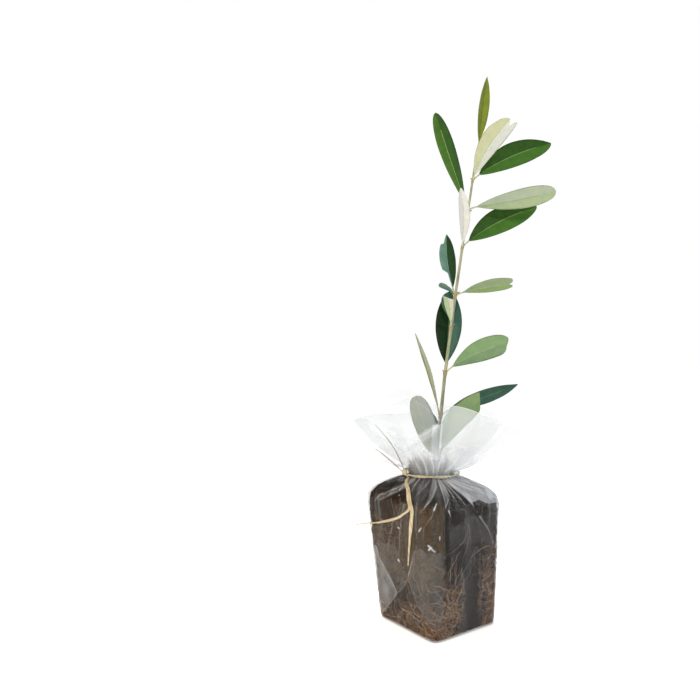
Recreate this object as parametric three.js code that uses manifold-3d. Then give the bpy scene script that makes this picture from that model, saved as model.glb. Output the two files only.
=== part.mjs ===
// A young olive tree on its root ball. The ball is wrapped in clear film, gathered round the foot of the
// stem and tied with raffia, so that the film stands up above the tie as a flared collar.
// Millimetres, +Z up. The origin is the middle of the flat underside, and the ball's sides run along X and Y.
import * as THREE from "three";
import { mergeVertices } from "three/addons/utils/BufferGeometryUtils.js";
import Module from "manifold-3d";

const wasm = await Module();
wasm.setup();

// Driving sizes
const touchGap = 0.3; // between pieces that touch
const tieHeight = 105;
const leanAtTie = new THREE.Vector2(-3.5, 2.5); // how far the wrapped ball leans by the height of the tie

const film = {
  thickness: 0.6,
  footHalf: 29.2, // half the side of the square foot
  shoulderHalf: 33.4,
  shoulderHeight: 80,
  swell: 0.8, // under 1 the sides swell out low down
  topPower: 3.5, // how long the top stays nearly flat before it turns in to the neck
  neckRadius: 18.4,
  neckLength: 1.7, // straight each side of the tie
  cornerPower: 14, // a high power gives crisp corners, and 2 a circle
  segments: 48,
};
const pleats = {
  count: 11,
  height: 1.8,
  crestShift: 0.28, // how unevenly they are spaced
  width: 0.84, // of the spacing
  pressed: 0.6, // how much lower they are in the tie
  pressedFrom: 88,
};

// The collar's rim: where it points, how long the film is there from the tie, and how steeply it stands.
// It has a low point at the left and at the right, and stands up at the front and the back.
const collarRim = [
  { heading: 24, length: 56, rise: 60 },
  { heading: 76, length: 51, rise: 46 },
  { heading: 124, length: 62, rise: 24 },
  { heading: 158, length: 56, rise: 52 },
  { heading: 194, length: 61, rise: 77 },
  { heading: 244, length: 50, rise: 74 },
  { heading: 294, length: 56, rise: 36 },
  { heading: 338, length: 50, rise: 50 },
];
const collarWaves = [
  { count: 5, height: 2.4, turn: 34 },
  { count: 9, height: 1.2, turn: 115 },
];
const collarSpread = 0.3; // how much less steeply it leaves the tie, and how much more steeply it ends
const collarRows = 6;

const ball = {
  clearance: 0.9, // to the outside of the film
  roughness: 0.5,
  slack: { room: 1.6, from: 78, to: 88 }, // the film stands off the ball's shoulders
  moundHeight: 113,
  moundRadius: 12,
};

const stem = {
  footRadius: 2.3,
  radius: 1.45,
  tipRadius: 0.75,
  tipHeight: 336,
  sideways: 29, // how far the tip leans
  heading: -36,
  bend: 1.25, // over 1 the stem curves, upright at its foot
  kink: 0.5,
  kinks: 9,
  flareHeight: 7,
  sides: 8,
  steps: 24,
};

const petiole = { radius: 0.55, length: 5, crook: 2 }; // the crook lifts the blade
const blade = {
  thickness: 0.9,
  arch: 0.02, // of its length
  footPower: 0.85, // how full its foot is
  spread: 0.12, // the share of the blade where it widens out of its stalk
  notchWidth: 0.6,
  endStart: 0.7,
  bitten: 0.25, // what a bite leaves of that half
  steps: 12,
};

// Small helpers
const lerp = THREE.MathUtils.lerp;
const radians = THREE.MathUtils.degToRad;
const clamp01 = (value) => THREE.MathUtils.clamp(value, 0, 1);
const smooth = (value) => THREE.MathUtils.smoothstep(value, 0, 1);
const steps = (count) => Array.from({ length: count + 1 }, (_, k) => k / count);

function direction(heading, rise) {
  const level = Math.cos(radians(rise));
  return new THREE.Vector3(
    level * Math.cos(radians(heading)),
    level * Math.sin(radians(heading)),
    Math.sin(radians(rise)),
  );
}

// A lathe whose vertices are put in place by place(row of the profile, angle in degrees)
function shapedLathe(profile, segments, place) {
  const geometry = new THREE.LatheGeometry(profile, segments);
  const position = geometry.getAttribute("position");
  for (let i = 0; i < position.count; i++) {
    const turn = Math.floor(i / profile.length) % segments;
    const point = place(i % profile.length, (turn * 360) / segments);
    position.setXYZ(i, point.x, point.y, point.z);
  }
  return geometry;
}

// A cylinder whose vertices are put in place by place(share of its length, across, over). The last two are
// the sine and cosine of the angle round the section, and are both 0 in the middle of an end.
function shapedCylinder(sides, count, place) {
  const geometry = new THREE.CylinderGeometry(1, 1, 1, sides, count);
  const position = geometry.getAttribute("position");
  for (let i = 0; i < position.count; i++) {
    const point = place(position.getY(i) + 0.5, position.getX(i), position.getZ(i));
    position.setXYZ(i, point.x, point.y, point.z);
  }
  return geometry;
}

function solidOf(geometry) {
  const bare = geometry.toNonIndexed();
  bare.deleteAttribute("normal");
  bare.deleteAttribute("uv");
  const merged = mergeVertices(bare, 1e-3);
  return new wasm.Manifold(
    new wasm.Mesh({
      numProp: 3,
      vertProperties: new Float32Array(merged.attributes.position.array),
      triVerts: new Uint32Array(merged.index.array),
    }),
  );
}

function geometryOf(solid) {
  const mesh = solid.getMesh();
  return new THREE.BufferGeometry()
    .setAttribute("position", new THREE.BufferAttribute(mesh.vertProperties, 3))
    .setIndex(new THREE.BufferAttribute(mesh.triVerts, 1));
}

// The wrapped ball: a square foot that swells to the shoulders and turns in to a round neck
const wrapTop = tieHeight - film.neckLength;
const wrapRows = [5, 25, 45, 62, 76, 84, 91, 96, 100, wrapTop];

const aboveShoulder = (z) => clamp01((z - film.shoulderHeight) / (wrapTop - film.shoulderHeight));

function wrapHalf(z) {
  const swelling = lerp(film.footHalf, film.shoulderHalf, clamp01(z / film.shoulderHeight) ** film.swell);
  return lerp(swelling, film.neckRadius, aboveShoulder(z) ** film.topPower);
}

function squareness(angle, z) {
  const power = lerp(film.cornerPower, 2, smooth(aboveShoulder(z)));
  const sum = Math.abs(Math.cos(radians(angle))) ** power + Math.abs(Math.sin(radians(angle))) ** power;
  return sum ** (-1 / power);
}

// Ridges of gathered film at uneven angles: 0 between them and 1 on their crests
function pleat(angle) {
  const spacing = 360 / pleats.count;
  const heights = Array.from({ length: pleats.count }, (_, k) => {
    const crest = (k + pleats.crestShift * Math.sin(2.4 * k)) * spacing;
    const away = Math.abs(THREE.MathUtils.euclideanModulo(angle - crest + 180, 360) - 180);
    return 1 - (2 * away) / (pleats.width * spacing);
  });
  return Math.max(0, ...heights);
}

function pleatHeight(z) {
  const pressed = pleats.pressed * smooth((z - pleats.pressedFrom) / (wrapTop - pleats.pressedFrom));
  return pleats.height * smooth(z / film.shoulderHeight) * (1 - pressed);
}

// A point at an angle and a distance from the axis of the wrapped ball, which leans
function fromAxis(angle, radius, z) {
  const lean = leanAtTie.clone().multiplyScalar(Math.min(z / tieHeight, 1));
  return new THREE.Vector3(
    lean.x + radius * Math.cos(radians(angle)),
    lean.y + radius * Math.sin(radians(angle)),
    z,
  );
}

function onWrap(angle, z, out) {
  return fromAxis(angle, wrapHalf(z) * squareness(angle, z) + pleatHeight(z) * pleat(angle) + out, z);
}

// The peat, heaped round the foot of the stem where it comes up through the tie
function ballGeometry() {
  const foot = film.thickness + touchGap;
  const heights = [foot, foot, ...wrapRows, tieHeight + 2, ball.moundHeight, ball.moundHeight];
  const last = heights.length - 1;
  const profile = heights.map((z, row) => new THREE.Vector2(row === 0 || row === last ? 0 : 1, z));
  return shapedLathe(profile, film.segments, (row, angle) => {
    const z = heights[row];
    if (row === 0 || row === last) return fromAxis(angle, 0, z);
    const lumps = Math.sin(radians(5 * angle + 12 * z)) * Math.sin(radians(9 * angle - 10 * z + 57));
    const slack = ball.slack.room * smooth((z - ball.slack.from) / (ball.slack.to - ball.slack.from));
    const inside = ball.clearance + ball.roughness * (0.5 + lumps / 2) + slack;
    const radius = wrapHalf(z) * squareness(angle, z) - inside;
    const heap = smooth((z - tieHeight) / (ball.moundHeight - tieHeight));
    return fromAxis(angle, lerp(radius, ball.moundRadius, heap), z);
  });
}

// The film round the ball: one shell, open at the neck
function wrapGeometry() {
  const sides = [...wrapRows, tieHeight - touchGap / 2];
  const outer = [0, 0, ...sides];
  const inner = [...sides.slice().reverse(), film.thickness, film.thickness];
  const heights = [...outer, ...inner];
  const last = heights.length - 1;
  const profile = heights.map((z, row) => new THREE.Vector2(row === 0 || row === last ? 0 : 1, z));
  return shapedLathe(profile, film.segments, (row, angle) => {
    if (row === 0 || row === last) return fromAxis(angle, 0, heights[row]);
    return onWrap(angle, heights[row], row < outer.length ? 0 : -film.thickness);
  });
}

function rimAt(angle) {
  const after = collarRim.findIndex(({ heading }) => heading > angle);
  const to = collarRim[Math.max(after, 0)];
  const from = collarRim.at(after < 0 ? -1 : after - 1);
  const gap = THREE.MathUtils.euclideanModulo(to.heading - from.heading, 360);
  const share = smooth(THREE.MathUtils.euclideanModulo(angle - from.heading, 360) / gap);
  return { length: lerp(from.length, to.length, share), rise: lerp(from.rise, to.rise, share) };
}

// A point on the collar at an angle and a share of the way from the tie to the rim, which is wavy
function onCollar(angle, share, out) {
  const { length, rise } = rimAt(angle);
  const spread = collarSpread * (90 - rise);
  const slope = (at) => radians(lerp(rise - spread, rise + spread, at));
  const waves = collarWaves.map((wave) => wave.height * Math.sin(radians(wave.count * angle + wave.turn)));
  const lift = out + share * (waves[0] + waves[1]);
  const strides = 8;
  const stride = (length * share) / strides;
  let radius = film.neckRadius + pleatHeight(tieHeight) * pleat(angle);
  let z = tieHeight + film.neckLength;
  for (let k = 0; k < strides; k++) {
    const midway = slope((share * (k + 0.5)) / strides);
    radius += stride * Math.cos(midway);
    z += stride * Math.sin(midway);
  }
  return fromAxis(angle, radius + lift * Math.sin(slope(share)), z - lift * Math.cos(slope(share)));
}

function collarGeometry() {
  const shares = steps(collarRows);
  const foot = { share: 0, z: tieHeight + touchGap / 2 };
  const outer = [{ ...foot, out: 0 }, ...shares.map((share) => ({ share, out: 0 }))];
  const inner = outer.map((row) => ({ ...row, out: -film.thickness })).reverse();
  const rows = [...outer, ...inner, outer[0]];
  const profile = rows.map((_, row) => new THREE.Vector2(1, row));
  return shapedLathe(profile, film.segments, (row, angle) => {
    const point = onCollar(angle, rows[row].share, rows[row].out);
    return rows[row].z === undefined ? point : point.setZ(rows[row].z);
  });
}

// The stem, with a kink at each pair of leaves
const stemFoot = ball.moundHeight + touchGap;
const alongStem = (z) => clamp01((z - stemFoot) / (stem.tipHeight - stemFoot));

function stemPoint(z) {
  const share = alongStem(z);
  const kink = stem.kink * Math.sin(share * stem.kinks * Math.PI);
  return direction(stem.heading, 0)
    .multiplyScalar(stem.sideways * share ** stem.bend)
    .addScaledVector(direction(stem.heading + 90, 0), kink)
    .setZ(z);
}

function stemRadius(z) {
  const flare = (stem.footRadius - stem.radius) * (1 - smooth((z - stemFoot) / stem.flareHeight));
  return lerp(stem.radius, stem.tipRadius, alongStem(z)) + flare;
}

function stemGeometry(extra) {
  return shapedCylinder(stem.sides, stem.steps, (share, across, over) => {
    const z = lerp(stemFoot - extra, stem.tipHeight + extra, share);
    const radius = stemRadius(z) + extra;
    return stemPoint(z).add(new THREE.Vector3(radius * over, radius * across, 0));
  });
}

// The leaves, in pairs from the lowest up, with z as the height of their joint on the stem. A leaf points,
// and its upper side faces, to a [heading, rise] in degrees, and its size is [length, width]. blunt is near
// 1 for a sharp tip and lower for a round one. bow bends the blade sideways, and fold lifts its halves. cut
// ends the blade short, notch splits that end, slant leans it over, and bite takes most of one half away
// near the foot.
const leafPairs = [
  {
    z: 115,
    left: { points: [167, 71], size: [47, 15], faces: [50, 15], blunt: 0.4 },
    small: { points: [76, 78], size: [32, 9], faces: [-126, 10], blunt: 0.7 },
    right: { points: [-63, 55], size: [51, 18], faces: [54, 30], blunt: 0.6, bow: 4.5, cut: 0.95, slant: 5 },
  },
  {
    z: 145,
    left: { points: [119, 73], size: [61, 11], faces: [-24, 10], blunt: 0.9, fold: 4 },
    right: { points: [-18, 19], size: [65, 13], faces: [-126, 50], blunt: 0.9, bow: 2 },
  },
  {
    z: 175,
    back: { points: [36, 71], size: [64, 19], faces: [-126, 10], blunt: 0.8 },
    right: { points: [-57, 27], size: [50, 17.5], faces: [54, 20], blunt: 0.38, bow: 1.5 },
  },
  {
    z: 208,
    front: { points: [-140, 44], size: [27, 6.8], faces: [45, 40], blunt: 0.8, cut: 0.5, slant: 2 },
    back: { points: [56, 55], size: [31, 14], faces: [-126, 30], blunt: 0.7 },
  },
  {
    z: 229,
    left: { points: [69, 73], size: [49, 13], faces: [-106, 10], blunt: 0.8, bow: -3, bite: 0.3 },
    right: { points: [-51, 13], size: [40, 11.5], faces: [54, 40], blunt: 0.6, cut: 0.9, notch: 3, slant: 1 },
    small: { points: [167, 35], size: [15, 4.5], faces: [-126, 30], blunt: 0.8, bow: 1.5 },
  },
  {
    z: 264,
    front: { points: [-137, 51], size: [46, 9], faces: [5, 30], blunt: 0.7, bow: -1.5 },
    right: { points: [-22, 29], size: [66, 20], faces: [-126, 25], blunt: 0.7, bow: -2 },
  },
  {
    z: 290,
    left: { points: [107, 71], size: [79, 12], faces: [-126, 10], blunt: 0.7, bow: -1 },
    right: { points: [-50, 10], size: [60, 14.5], faces: [54, 25], blunt: 0.45, bow: -1.5 },
  },
  {
    z: 311,
    front: {
      points: [-88, 47],
      size: [48, 16],
      faces: [60, 30],
      blunt: 0.6,
      bow: 2.6,
      cut: 0.9,
      notch: 5,
      slant: -1.5,
    },
    right: { points: [-19, 27], size: [71, 20], faces: [-126, 20], blunt: 0.75, bow: -2.2 },
  },
  { z: 332, tip: { points: [-9, 81.5], size: [55, 8], faces: [-110, 5], blunt: 0.9, bow: -0.3, fold: 20 } },
];

// Half the blade's width at a share of its length, for a blade 2 wide
function outline(share, { blunt, cut = 1 }) {
  const curve = (at) => at ** blade.footPower * Math.max(1 - at, 0) ** blunt;
  return curve(share * cut) / curve(blade.footPower / (blade.footPower + blunt));
}

function leafGeometry(z, leaf) {
  const { bow = 0, bite = 0, notch = 0, slant = 0, fold = 10 } = leaf;
  const [length, width] = leaf.size;
  const along = direction(...leaf.points);
  const base = stemPoint(z).addScaledVector(direction(leaf.points[0], 0), stemRadius(z));
  const upper = direction(...leaf.faces);
  upper.addScaledVector(along, -upper.dot(along)).normalize();
  const side = new THREE.Vector3().crossVectors(along, upper);
  const stalk = petiole.length / length;
  return shapedCylinder(8, blade.steps, (share, across, over) => {
    const onBlade = clamp01((share - stalk) / (1 - stalk));
    const spread = smooth(onBlade / blade.spread);
    const bitten = across < 0 && onBlade < bite ? blade.bitten : 1;
    const half = Math.max(petiole.radius * (1 - spread), (width / 2) * outline(onBlade, leaf) * bitten);
    const thick = lerp(petiole.radius, blade.thickness / 2, spread);
    const nearMiddle = Math.max(0, 1 - Math.abs(across) / blade.notchWidth);
    const nearEnd = smooth((onBlade - blade.endStart) / (1 - blade.endStart));
    const reach = length * share + (slant * across - notch * nearMiddle) * nearEnd;
    const arch = Math.sin(Math.PI * share);
    const cupped = Math.tan(radians(fold)) * Math.abs(half * across);
    return base
      .clone()
      .addScaledVector(along, reach)
      .addScaledVector(side, half * across + bow * arch)
      .addScaledVector(upper, thick * over + cupped + blade.arch * length * arch)
      .add(new THREE.Vector3(0, 0, petiole.crook * Math.sin(Math.PI * share ** 0.4)));
  });
}

// The raffia: a band round the neck, a knot on its left, and ends that hang down and stand up from it
const tie = {
  bandRadius: 20.1,
  bandHeight: 2,
  bandThickness: 0.9,
  knot: { heading: 172, height: tieHeight + 2, halfSize: [1.9, 2.6, 2.9] },
};

function bandGeometry() {
  return new THREE.TorusGeometry(tie.bandRadius, tie.bandThickness / 2, 6, 36)
    .scale(1, 1, tie.bandHeight / tie.bandThickness)
    .translate(leanAtTie.x, leanAtTie.y, tieHeight);
}

function knotGeometry() {
  const { heading, height, halfSize } = tie.knot;
  const centre = fromAxis(heading, tie.bandRadius + tie.bandThickness + halfSize[0], height);
  return new THREE.SphereGeometry(1, 12, 8)
    .scale(...halfSize)
    .rotateZ(radians(heading))
    .translate(centre.x, centre.y, centre.z);
}

function strandGeometry(points, width, thickness) {
  const shape = new THREE.Shape();
  shape.absellipse(0, 0, thickness / 2, width / 2, 0, 2 * Math.PI);
  return new THREE.ExtrudeGeometry(shape, {
    extrudePath: new THREE.CatmullRomCurve3(points),
    steps: points.length * 3,
    curveSegments: 4,
    bevelEnabled: false,
  });
}

// Places over the wrap, as [heading, height, distance out], and up the collar, as [heading, share of the way
// to the rim, distance out]
const overWrap = (places) => places.map(([angle, z, out]) => onWrap(angle, z, out));
const upCollar = (places) => places.map(([angle, share, out]) => onCollar(angle, share, out));

const strands = {
  tie_tail_long: {
    points: overWrap([
      [176, 102.2, 1.9],
      [193, 98, 1.9],
      [203, 92, 1.7],
      [207, 85, 1.5],
      [205.5, 75, 1.5],
      [200.5, 60, 1.5],
      [196, 47, 1.5],
    ]),
    width: 2.6,
    thickness: 0.9,
  },
  tie_tail_side: {
    points: overWrap([
      [200, 84, 1.2],
      [194, 81.5, 1.2],
      [186, 78.5, 1.2],
      [176, 76, 1.2],
      [163, 73, 1.2],
      [150, 70, 1.8],
      [141, 68, 4.5],
      [138, 66, 12],
    ]),
    width: 1.8,
    thickness: 0.9,
  },
  tie_end_upper: {
    points: upCollar([
      [171, 0.11, 2],
      [174, 0.28, 1.2],
      [172.5, 0.49, 1.2],
      [170, 0.74, 2.6],
    ]),
    width: 1.1,
    thickness: 0.8,
  },
  tie_end_lower: {
    points: upCollar([
      [165, 0.11, 2],
      [161, 0.21, 1],
      [159.5, 0.32, 1],
      [156.5, 0.47, 2.6],
    ]),
    width: 1.1,
    thickness: 0.8,
  },
};

// Scene
const finishes = {
  peat: new THREE.MeshStandardMaterial({ color: 0x3b2c22, roughness: 1 }),
  film: new THREE.MeshStandardMaterial({ color: 0xeef1f2, roughness: 0.08, transparent: true, opacity: 0.3 }),
  bark: new THREE.MeshStandardMaterial({ color: 0xa79f7c, roughness: 0.7 }),
  leaf: new THREE.MeshStandardMaterial({ color: 0x4c7440, roughness: 0.5 }),
  raffia: new THREE.MeshStandardMaterial({ color: 0xd9bd86, roughness: 0.75 }),
};

const plant = new THREE.Group();
plant.name = "potted_olive_tree";

function add(name, geometry, finish) {
  const mesh = new THREE.Mesh(geometry, finish);
  mesh.name = name;
  plant.add(mesh);
}

add("root_ball", ballGeometry(), finishes.peat);
add("film_wrap", wrapGeometry(), finishes.film);
add("film_collar", collarGeometry(), finishes.film);
add("trunk", stemGeometry(0), finishes.bark);

const stemWithGap = solidOf(stemGeometry(touchGap));
leafPairs.forEach(({ z, ...leaves }, pair) => {
  for (const [side, leaf] of Object.entries(leaves)) {
    const clear = solidOf(leafGeometry(z, leaf)).subtract(stemWithGap);
    add(`leaf_${pair + 1}_${side}`, geometryOf(clear), finishes.leaf);
  }
});

add("tie_band", bandGeometry(), finishes.raffia);
add("tie_knot", knotGeometry(), finishes.raffia);
for (const [name, { points, width, thickness }] of Object.entries(strands))
  add(name, strandGeometry(points, width, thickness), finishes.raffia);

export default plant;
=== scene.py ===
# A young olive tree on its square root ball. Clear film is wrapped round the ball, gathered at the foot of
# the stem and tied with raffia, and stands up above the tie as a flared collar.
# Shapes are worked out in millimetres and turned to metres when a piece is made.
import math
import random

import bpy
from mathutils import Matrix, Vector, kdtree, noise


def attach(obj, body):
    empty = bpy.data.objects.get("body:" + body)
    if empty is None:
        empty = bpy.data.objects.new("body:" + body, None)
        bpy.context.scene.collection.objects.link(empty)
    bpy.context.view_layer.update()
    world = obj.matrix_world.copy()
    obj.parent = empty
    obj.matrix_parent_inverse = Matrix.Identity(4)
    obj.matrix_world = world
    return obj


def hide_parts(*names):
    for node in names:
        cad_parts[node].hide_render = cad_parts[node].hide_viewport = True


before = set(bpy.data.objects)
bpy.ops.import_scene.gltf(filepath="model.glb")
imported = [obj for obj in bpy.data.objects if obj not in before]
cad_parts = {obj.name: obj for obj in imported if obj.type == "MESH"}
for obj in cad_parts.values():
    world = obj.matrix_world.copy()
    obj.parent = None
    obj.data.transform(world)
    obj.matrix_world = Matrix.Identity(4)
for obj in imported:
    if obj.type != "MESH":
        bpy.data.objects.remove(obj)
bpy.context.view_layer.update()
print("frame loaded")

mm = 0.001
tieHeight = 105
wrapTop = tieHeight - 1.7
leanAtTie = Vector((-3.5, 2.5, 0))  # how far the wrapped ball leans by the height of the tie


def clamp01(value):
    return min(max(value, 0.0), 1.0)


def smooth(value):
    value = clamp01(value)
    return value * value * (3 - 2 * value)


def ramp(value, start, over):  # 0 up to the start, and 1 from as far past it as over says
    return smooth((value - start) / over)


def lerp(start, end, share):
    return start + (end - start) * share


def direction(heading, rise=0):
    return Vector((cosine(rise) * cosine(heading), cosine(rise) * sine(heading), sine(rise)))


def cosine(angle):  # of degrees
    return math.cos(math.radians(angle))


def sine(angle):
    return math.sin(math.radians(angle))


def turnFrom(start, angle):  # from one heading to another, between -180 and 180
    return (angle - start + 180) % 360 - 180


def rough(point, size, seed):  # a soft noise from -1 to 1 with lumps of the given size in mm
    return noise.noise(point / size + Vector((seed * 17.3, seed * 5.1, seed * 9.7)))


def fromAxis(angle, radius, z):  # a point at an angle and a distance from the leaning axis of the ball
    return leanAtTie * min(z / tieHeight, 1) + direction(angle) * radius + Vector((0, 0, z))


def addObject(name, data):
    made = bpy.data.objects.new(name, data)
    bpy.context.scene.collection.objects.link(made)
    return made


# Meshes are lists of points and faces, so that many small ones can be joined into one piece
class Shape:
    def __init__(self):
        self.points = []
        self.faces = []
        self.kinds = []  # the number of each face's material
        self.haze = []

    def rings(self, rings, kindOf=None, caps=(True, True), capKind=0, haze=()):
        first = len(self.points)
        columns = len(rings[0])
        for ring in rings:
            self.points += ring
        self.haze += haze
        for row in range(len(rings) - 1):
            for column in range(columns):
                a = first + row * columns + column
                b = first + row * columns + (column + 1) % columns
                self.faces.append((a, b, b + columns, a + columns))
                self.kinds.append(kindOf(row, column) if kindOf else 0)
        for wanted, ring, flip in ((caps[0], 0, True), (caps[1], len(rings) - 1, False)):
            if wanted:
                self.cap(first + ring * columns, columns, flip, capKind)

    def cap(self, first, columns, flip, kind):
        # closes a ring with strips across it, so that a notch stays open
        for k in range(columns // 2):
            corners = [first + place % columns for place in (k, k + 1, columns - k - 1, columns - k)]
            corners = list(dict.fromkeys(corners))
            self.faces.append(tuple(reversed(corners)) if flip else tuple(corners))
            self.kinds.append(kind)

    def piece(self, name, materials, replaces=()):
        mesh = bpy.data.meshes.new(name)
        mesh.from_pydata([point * mm for point in self.points], [], self.faces)
        for material in materials:
            mesh.materials.append(material)
        mesh.polygons.foreach_set("material_index", self.kinds)
        mesh.polygons.foreach_set("use_smooth", [True] * len(self.faces))
        if self.haze:
            mesh.attributes.new("haze", "FLOAT", "POINT").data.foreach_set("value", self.haze)
        mesh.update()
        made = addObject(name, mesh)
        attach(made, "root")
        if replaces:
            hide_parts(*replaces)


def sweep(shape, path, section, sides, kind=0, outward=None):
    # rings round a path of points: section(share, turn) gives how far out the surface is, across and over.
    # outward holds the way that is over at each point, where that matters
    rings = []
    over = Vector((0.3, 0.2, 1)).cross(path[1] - path[0]).normalized()
    last = len(path) - 1
    for k, point in enumerate(path):
        along = (path[min(k + 1, last)] - path[max(k - 1, 0)]).normalized()
        over = outward[k] if outward else over
        over = (over - along * over.dot(along)).normalized()
        side = along.cross(over)
        ring = []
        for turn in range(sides):
            across, out = section(k / last, 2 * math.pi * turn / sides)
            ring.append(point + side * across + over * out)
        rings.append(ring)
    shape.rings(rings, lambda row, column: kind)


def tapering(radius, start, loss, power=1):  # a round section for a sweep that narrows on its way
    def section(share, turn):
        here = radius * (start - loss * share**power)
        return here * math.cos(turn), here * math.sin(turn)

    return section


def treeOf(points):  # finds the points that are near a place
    tree = kdtree.KDTree(len(points))
    for index, point in enumerate(points):
        tree.insert(point, index)
    tree.balance()
    return tree


def curveThrough(places, stepsEach):  # a smooth path through a few places
    path = []
    for k in range(len(places) - 1):
        a = places[max(k - 1, 0)]
        b, c = places[k], places[k + 1]
        d = places[min(k + 2, len(places) - 1)]
        for step in range(stepsEach):
            t = step / stepsEach
            bend, twist = a * 2 - b * 5 + c * 4 - d, b * 3 - a - c * 3 + d
            path.append((b * 2 + (c - a) * t + bend * t**2 + twist * t**3) / 2)
    return path + [places[-1]]


# Materials
def linear(code):  # an sRGB hex value as linear red, green and blue, with full alpha
    values = [int(code[i : i + 2], 16) / 255 for i in (1, 3, 5)]
    return [v / 12.92 if v <= 0.04045 else ((v + 0.055) / 1.055) ** 2.4 for v in values] + [1.0]


def addNode(tree, kind, inputs, **settings):
    # adds a node with its settings, values and links. A node given as an input stands for its first output
    node = tree.nodes.new("ShaderNode" + kind)
    for name, value in settings.items():
        setattr(node, name, value)
    for name, value in inputs.items():
        if isinstance(value, bpy.types.Node):
            value = value.outputs[0]
        if isinstance(value, bpy.types.NodeSocket):
            tree.links.new(value, node.inputs[name])
        else:
            node.inputs[name].default_value = value
    return node


def newMaterial(name):  # an empty material, its nodes and the socket for places on the object
    material = bpy.data.materials.new(name)
    material.use_nodes = True
    tree = material.node_tree
    tree.nodes.clear()
    return material, tree, addNode(tree, "TexCoord", {}).outputs["Object"]


def mottled(name, dark, light, size, roughness, bump, specular, stretch=(1, 1, 1)):
    # two colours of one natural stuff that run into each other in patches. Their size and relief are in mm
    material, tree, place = newMaterial(name)
    fitted = addNode(tree, "Mapping", {"Vector": place, "Scale": stretch})
    grain = {"Vector": fitted, "Scale": 1 / (size * mm), "Detail": 6.0, "Roughness": 0.6}
    patches = addNode(tree, "TexNoise", grain)
    share = addNode(tree, "MapRange", {"Value": patches, "From Min": 0.3, "From Max": 0.7})
    colour = addNode(tree, "Mix", {"Factor": share, 6: linear(dark), 7: linear(light)}, data_type="RGBA")
    relief = addNode(tree, "Bump", {"Height": patches, "Distance": bump * mm, "Strength": 1.0})
    surface = {"Base Color": colour.outputs[2], "Roughness": roughness, "Specular IOR Level": specular}
    skin = addNode(tree, "BsdfPrincipled", {**surface, "Normal": relief})
    addNode(tree, "OutputMaterial", {"Surface": skin})
    return material


def clearFilm(name, shine, roughness):
    # Cast polypropylene film: clear and glossy, so that what lies under it shows, and whitened where it is
    # creased or lies in many layers. The share of white comes from the mesh, which knows its folds. White
    # film scatters light to both sides. A shine under 1 is for film that hardly mirrors its white room
    material, tree, place = newMaterial(name)
    crinkle = addNode(tree, "TexNoise", {"Vector": place, "Scale": 1 / (6 * mm), "Detail": 3.0})
    relief = addNode(tree, "Bump", {"Height": crinkle, "Distance": 0.3 * mm})
    clear = addNode(tree, "BsdfTransparent", {"Color": linear("#f7f8f8")})
    gloss = addNode(tree, "BsdfGlossy", {"Color": (1, 1, 1, 1), "Roughness": roughness, "Normal": relief})
    edges = addNode(tree, "Fresnel", {"IOR": 1.49, "Normal": relief})
    mirror = addNode(tree, "Math", {0: edges, 1: shine}, operation="MULTIPLY")
    sheet = addNode(tree, "MixShader", {0: mirror, 1: clear, 2: gloss})
    front = addNode(tree, "BsdfDiffuse", {"Color": linear("#f5faff")})
    through = addNode(tree, "BsdfTranslucent", {"Color": linear("#f5faff")})
    white = addNode(tree, "MixShader", {0: 0.5, 1: front, 2: through})
    folds = addNode(tree, "Attribute", {}, attribute_name="haze").outputs["Fac"]
    whole = addNode(tree, "MixShader", {0: folds, 1: sheet, 2: white})
    addNode(tree, "OutputMaterial", {"Surface": whole})
    return material


# The wrapped ball: a square foot that swells to the shoulders and turns in to a round neck
wrapForm = {
    "footHalf": 29.2,  # half the side of the square foot
    "shoulderHalf": 33.4,
    "shoulderHeight": 80,
    "swell": 0.8,
    "topPower": 3.5,
    "neckRadius": 18.4,
    "neckLength": 1.7,
    "cornerPower": 14,
    "pleatCount": 11,
    "pleatHeight": 1.8,
    "pleatWidth": 0.42,  # half of it, as a share of the spacing
    "uneven": 0.28,  # how far pleats leave their even places
    "pressed": (88, 0.6),  # the height from which the tie flattens them, and by how much in all
}


def aboveShoulder(z):
    return clamp01((z - wrapForm["shoulderHeight"]) / (wrapTop - wrapForm["shoulderHeight"]))


def wrapHalf(z):
    rise = clamp01(z / wrapForm["shoulderHeight"]) ** wrapForm["swell"]
    swelling = lerp(wrapForm["footHalf"], wrapForm["shoulderHalf"], rise)
    return lerp(swelling, wrapForm["neckRadius"], aboveShoulder(z) ** wrapForm["topPower"])


def squareness(angle, z):  # how much further out than half its width a square with round corners is
    power = lerp(wrapForm["cornerPower"], 2, smooth(aboveShoulder(z)))
    return (abs(cosine(angle)) ** power + abs(sine(angle)) ** power) ** (-1 / power)


def pleat(angle):
    spacing = 360 / wrapForm["pleatCount"]
    best = 0
    for k in range(wrapForm["pleatCount"]):
        crest = (k + wrapForm["uneven"] * math.sin(2.4 * k)) * spacing
        best = max(best, 1 - abs(turnFrom(crest, angle)) / (wrapForm["pleatWidth"] * spacing))
    return best


def pleatHeight(z):
    pressedFrom, loss = wrapForm["pressed"]
    pressed = loss * ramp(z, pressedFrom, wrapTop - pressedFrom)
    return wrapForm["pleatHeight"] * smooth(z / wrapForm["shoulderHeight"]) * (1 - pressed)


def onWrap(angle, z, out):
    return fromAxis(angle, wrapHalf(z) * squareness(angle, z) + pleatHeight(z) * pleat(angle) + out, z)


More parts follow.
